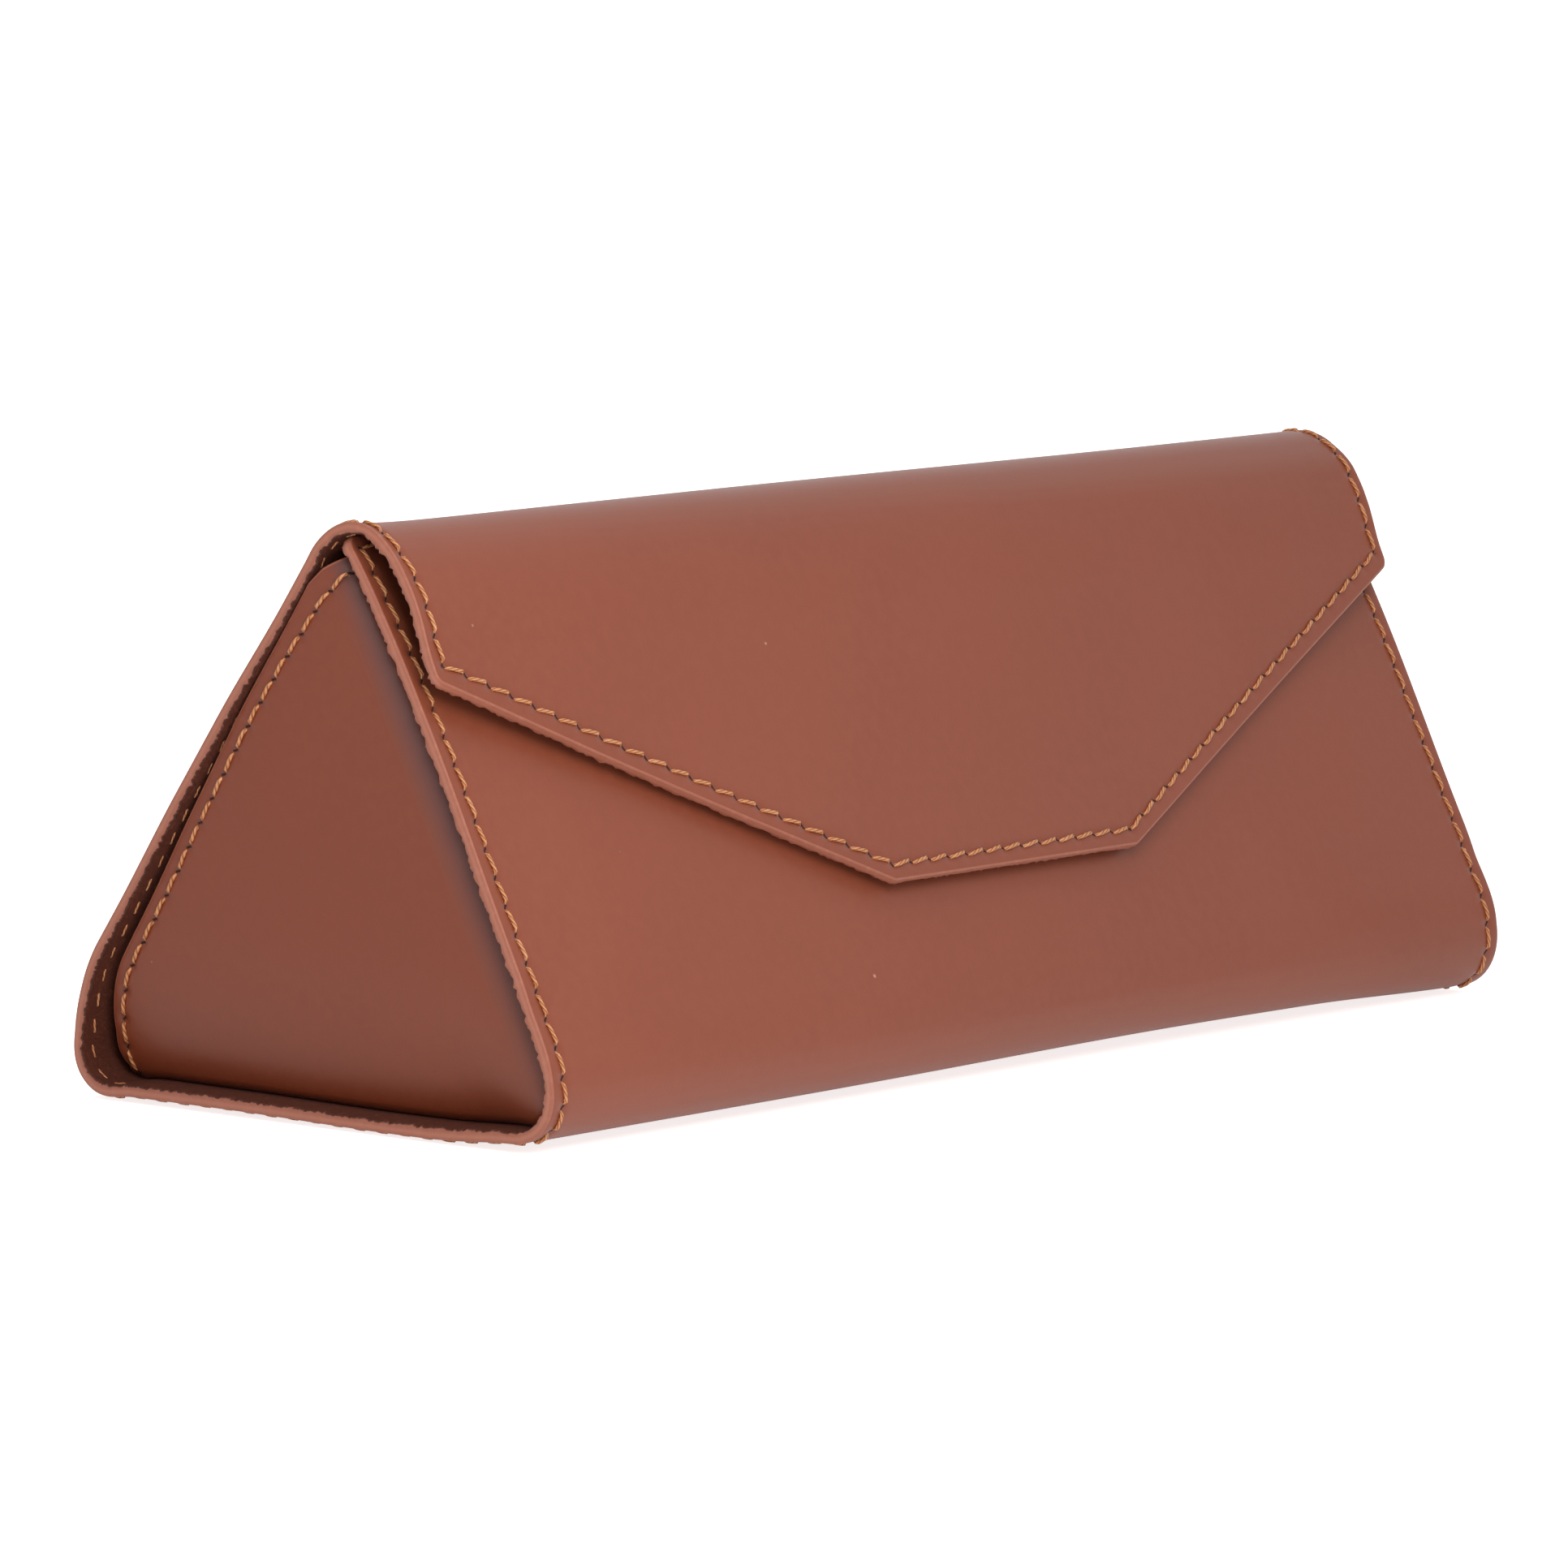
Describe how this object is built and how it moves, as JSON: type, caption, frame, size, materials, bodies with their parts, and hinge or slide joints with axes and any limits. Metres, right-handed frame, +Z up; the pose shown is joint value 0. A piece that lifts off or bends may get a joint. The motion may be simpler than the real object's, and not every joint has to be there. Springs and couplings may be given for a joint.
{
  "type": "eyeglasses case",
  "caption": "Stitched leather eyeglasses case of triangular section, with sewn end gussets and an envelope flap that lifts as the back panel leans away.",
  "frame": {"origin": "middle of the footprint on the floor, case closed", "axes": "+X along the ridge, -Y the front with the flap, +Z up"},
  "size_m": [0.17, 0.0722, 0.0665],
  "materials": {
    "leather": "smooth vegetable-tanned chestnut leather, satin, raw suede flesh side",
    "cover_leather": "thin dark suede split",
    "thread": "waxed three-ply golden tan thread",
    "magnet_plating": "nickel plate"
  },
  "bodies": {
    "tray": {"front_and_base_leather": "leather", "left_gusset": "leather", "right_gusset": "leather", "left_gusset_thread": "thread", "right_gusset_thread": "thread", "left_tray_thread": "thread", "right_tray_thread": "thread", "front_top_thread": "thread", "front_magnet_left": "magnet_plating", "front_magnet_right": "magnet_plating", "front_magnet_cover": "cover_leather"},
    "back": {"back_leather": "leather", "left_back_thread": "thread", "right_back_thread": "thread"},
    "flap": {"flap_leather": "leather", "flap_thread": "thread", "flap_magnet_left": "magnet_plating", "flap_magnet_right": "magnet_plating", "flap_magnet_cover": "cover_leather"}
  },
  "joints": [
    {"name": "back_swing", "type": "hinge", "parent": "tray", "child": "back", "pos_m": [0, 0.0359, 0.00587], "axis": [-1, 0, 0], "range_deg": [0, 58], "stiffness_Nm_per_rad": 0.004},
    {"name": "flap_open", "type": "hinge", "parent": "back", "child": "flap", "pos_m": [0, -0.00753, 0.06616], "axis": [-1, 0, 0], "range_deg": [0, 116], "stiffness_Nm_per_rad": 0.002}
  ],
  "couplings": [
    {"joint": "back_swing", "follows": "flap_open", "ratio": 0.5}
  ]
}
